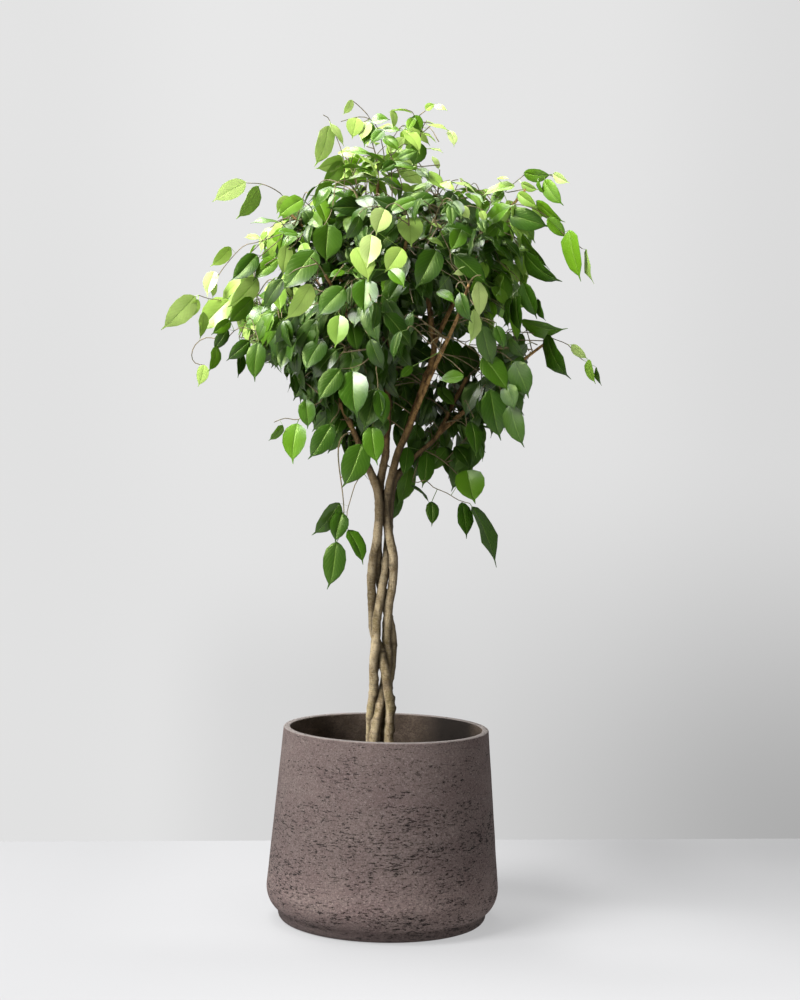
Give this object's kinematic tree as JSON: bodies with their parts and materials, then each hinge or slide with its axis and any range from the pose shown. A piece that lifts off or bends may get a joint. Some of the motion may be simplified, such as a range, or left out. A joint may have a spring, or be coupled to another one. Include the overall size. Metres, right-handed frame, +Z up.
{
  "type": "potted weeping fig",
  "caption": "Weeping fig with plaited stems and a domed, hanging crown, standing in a tapered pitted fibre-cement planter.",
  "frame": {"origin": "centre of the planter's flat underside", "axes": "+Z up along the planter's axis and the trunk, -Y towards the front"},
  "size_m": [0.6522, 0.5326, 1.2035],
  "materials": {
    "planter_cement": "matt pitted fibre-cement, taupe brown",
    "nursery_plastic": "satin black",
    "soil": "loose dark potting soil",
    "bark": "grey-tan bark with rings and knots",
    "foliage": "glossy dark green leaf",
    "young_foliage": "glossy lime green young leaf"
  },
  "bodies": {
    "root": {"branch_back": "bark", "branch_back_left": "bark", "branch_back_right": "bark", "branch_front": "bark", "branch_front_left": "bark", "branch_front_right": "bark", "branch_left_high": "bark", "branch_left_mid": "bark", "branch_right_high": "bark", "branch_right_mid": "bark", "nursery_pot": "nursery_plastic", "planter": "planter_cement", "potting_soil": "soil", "shoot_01": "young_foliage", "shoot_02": "young_foliage", "shoot_03": "young_foliage", "shoot_04": "young_foliage", "shoot_05": "young_foliage", "shoot_06": "foliage", "shoot_07": "foliage", "shoot_08": "young_foliage", "shoot_09": "foliage", "shoot_10": "foliage", "shoot_11": "foliage", "shoot_12": "young_foliage", "shoot_13": "foliage", "shoot_14": "foliage", "shoot_15": "foliage", "shoot_16": "foliage", "shoot_17": "foliage", "shoot_18": "foliage", "shoot_19": "foliage", "shoot_20": "foliage", "shoot_21": "foliage", "shoot_22": "foliage", "shoot_23": "young_foliage", "shoot_24": "foliage", "shoot_25": "foliage", "shoot_26": "foliage", "shoot_27": "foliage", "shoot_28": "foliage", "shoot_29": "foliage", "shoot_30": "foliage", "shoot_31": "foliage", "shoot_32": "foliage", "shoot_33": "foliage", "shoot_34": "foliage", "shoot_35": "foliage", "shoot_36": "foliage", "shoot_37": "foliage", "shoot_38": "foliage", "shoot_39": "foliage", "shoot_40": "foliage", "shoot_41": "foliage", "shoot_42": "foliage", "shoot_43": "foliage", "stem_1": "bark", "stem_2": "bark", "stem_3": "bark", "stem_4": "bark"}
  },
  "joints": []
}
